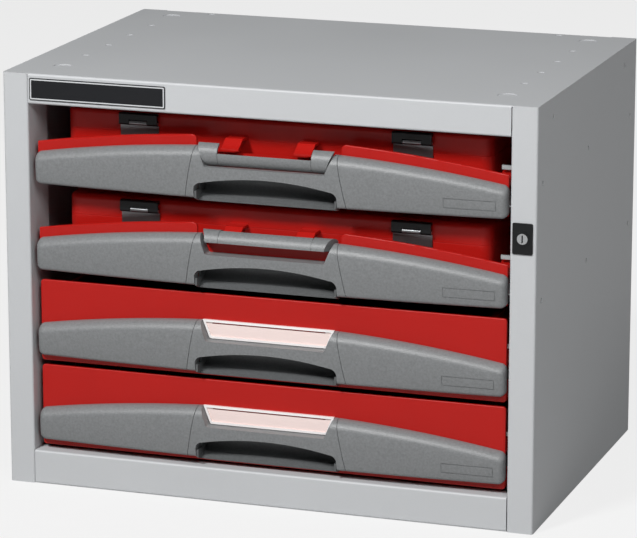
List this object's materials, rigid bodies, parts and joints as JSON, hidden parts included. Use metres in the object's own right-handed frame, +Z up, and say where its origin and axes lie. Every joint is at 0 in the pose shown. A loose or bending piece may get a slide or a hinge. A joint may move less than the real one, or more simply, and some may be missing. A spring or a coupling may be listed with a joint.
{
  "type": "tool cabinet",
  "caption": "Sheet steel tool cabinet, open in front, with lidded carrying cases above drawers, arched moulded handle fronts and a side lock.",
  "frame": {"origin": "middle of the object's footprint, on the floor", "axes": "+X to the right seen from the front, +Y to the back, +Z up; cases and drawers pull out along -Y"},
  "size_m": [0.52, 0.3638, 0.4],
  "materials": {
    "grey_powder_coat": "satin powder coat",
    "zinc_plated_steel": "bright zinc plate",
    "dark_label": "satin",
    "black_plastic": "satin",
    "red_plastic": "moulded, half gloss",
    "grey_grip": "fine grained satin",
    "dark_pocket": "moulded satin",
    "clear_plastic": "clear, polished"
  },
  "bodies": {
    "cabinet": {"left_side_panel": "grey_powder_coat", "right_side_panel": "grey_powder_coat", "top_panel": "grey_powder_coat", "bottom_panel": "grey_powder_coat", "back_panel": "grey_powder_coat", "left_runners": "zinc_plated_steel", "right_runners": "zinc_plated_steel", "back_rivets": "zinc_plated_steel", "label_plate": "dark_label", "lock_plate": "black_plastic", "lock_nut": "zinc_plated_steel", "lock_bar_guides": "zinc_plated_steel"},
    "lock_plug": {"lock_plug": "zinc_plated_steel", "lock_cam": "zinc_plated_steel"},
    "lock_bar": {"lock_bar": "zinc_plated_steel"},
    "case_1": {"case_1_body": "red_plastic", "case_1_lid": "red_plastic", "case_1_lid_hinge_pins": "zinc_plated_steel", "case_1_front_carrier": "red_plastic", "case_1_left_grip": "grey_grip", "case_1_right_grip": "grey_grip", "case_1_handle_frame": "grey_grip", "case_1_handle_pocket": "dark_pocket", "case_1_clasp_brackets": "zinc_plated_steel", "case_1_clasp_pins": "zinc_plated_steel", "case_1_front_screws": "zinc_plated_steel"},
    "case_1_flap": {"case_1_latch_flap": "grey_grip"},
    "case_1_left_clasp": {"case_1_left_clasp": "black_plastic"},
    "case_1_right_clasp": {"case_1_right_clasp": "black_plastic"},
    "case_2": {"case_2_body": "red_plastic", "case_2_lid": "red_plastic", "case_2_lid_hinge_pins": "zinc_plated_steel", "case_2_front_carrier": "red_plastic", "case_2_left_grip": "grey_grip", "case_2_right_grip": "grey_grip", "case_2_handle_frame": "grey_grip", "case_2_handle_pocket": "dark_pocket", "case_2_clasp_brackets": "zinc_plated_steel", "case_2_clasp_pins": "zinc_plated_steel", "case_2_front_screws": "zinc_plated_steel"},
    "case_2_flap": {"case_2_latch_flap": "grey_grip"},
    "case_2_left_clasp": {"case_2_left_clasp": "black_plastic"},
    "case_2_right_clasp": {"case_2_right_clasp": "black_plastic"},
    "drawer_1": {"drawer_1_tray": "red_plastic", "drawer_1_front": "red_plastic", "drawer_1_left_grip": "grey_grip", "drawer_1_right_grip": "grey_grip", "drawer_1_handle_frame": "grey_grip", "drawer_1_handle_pocket": "dark_pocket", "drawer_1_label_window": "clear_plastic", "drawer_1_front_screws": "zinc_plated_steel"},
    "drawer_2": {"drawer_2_tray": "red_plastic", "drawer_2_front": "red_plastic", "drawer_2_left_grip": "grey_grip", "drawer_2_right_grip": "grey_grip", "drawer_2_handle_frame": "grey_grip", "drawer_2_handle_pocket": "dark_pocket", "drawer_2_label_window": "clear_plastic", "drawer_2_front_screws": "zinc_plated_steel"}
  },
  "joints": [
    {"name": "lock_turn", "type": "hinge", "parent": "cabinet", "child": "lock_plug", "pos_m": [0.2469, -0.17935, 0.2785], "axis": [0, 1, 0], "range_deg": [-90, 0]},
    {"name": "lock_bar_slide", "type": "slide", "parent": "cabinet", "child": "lock_bar", "axis": [0, 0, 1], "range_m": [-0.00778, 0]},
    {"name": "case_1_slide", "type": "slide", "parent": "cabinet", "child": "case_1", "axis": [0, -1, 0], "range_m": [0, 0.28]},
    {"name": "case_1_flap_hinge", "type": "hinge", "parent": "case_1", "child": "case_1_flap", "pos_m": [0, -0.17075, 0.3345], "axis": [-1, 0, 0], "range_deg": [0, 70]},
    {"name": "case_1_left_clasp_hinge", "type": "hinge", "parent": "case_1", "child": "case_1_left_clasp", "pos_m": [-0.134, -0.15335, 0.3545], "axis": [1, 0, 0], "range_deg": [0, 70]},
    {"name": "case_1_right_clasp_hinge", "type": "hinge", "parent": "case_1", "child": "case_1_right_clasp", "pos_m": [0.134, -0.15335, 0.3545], "axis": [1, 0, 0], "range_deg": [0, 70]},
    {"name": "case_2_slide", "type": "slide", "parent": "cabinet", "child": "case_2", "axis": [0, -1, 0], "range_m": [0, 0.28]},
    {"name": "case_2_flap_hinge", "type": "hinge", "parent": "case_2", "child": "case_2_flap", "pos_m": [0, -0.17075, 0.251], "axis": [1, 0, 0], "range_deg": [0, 70]},
    {"name": "case_2_left_clasp_hinge", "type": "hinge", "parent": "case_2", "child": "case_2_left_clasp", "pos_m": [-0.134, -0.15335, 0.271], "axis": [1, 0, 0], "range_deg": [0, 70]},
    {"name": "case_2_right_clasp_hinge", "type": "hinge", "parent": "case_2", "child": "case_2_right_clasp", "pos_m": [0.134, -0.15335, 0.271], "axis": [1, 0, 0], "range_deg": [0, 70]},
    {"name": "drawer_1_slide", "type": "slide", "parent": "cabinet", "child": "drawer_1", "axis": [0, -1, 0], "range_m": [0, 0.28]},
    {"name": "drawer_2_slide", "type": "slide", "parent": "cabinet", "child": "drawer_2", "axis": [0, -1, 0], "range_m": [0, 0.28]}
  ],
  "couplings": [
    {"joint": "lock_turn", "follows": "lock_bar_slide", "rad_per_m": 201.95}
  ]
}
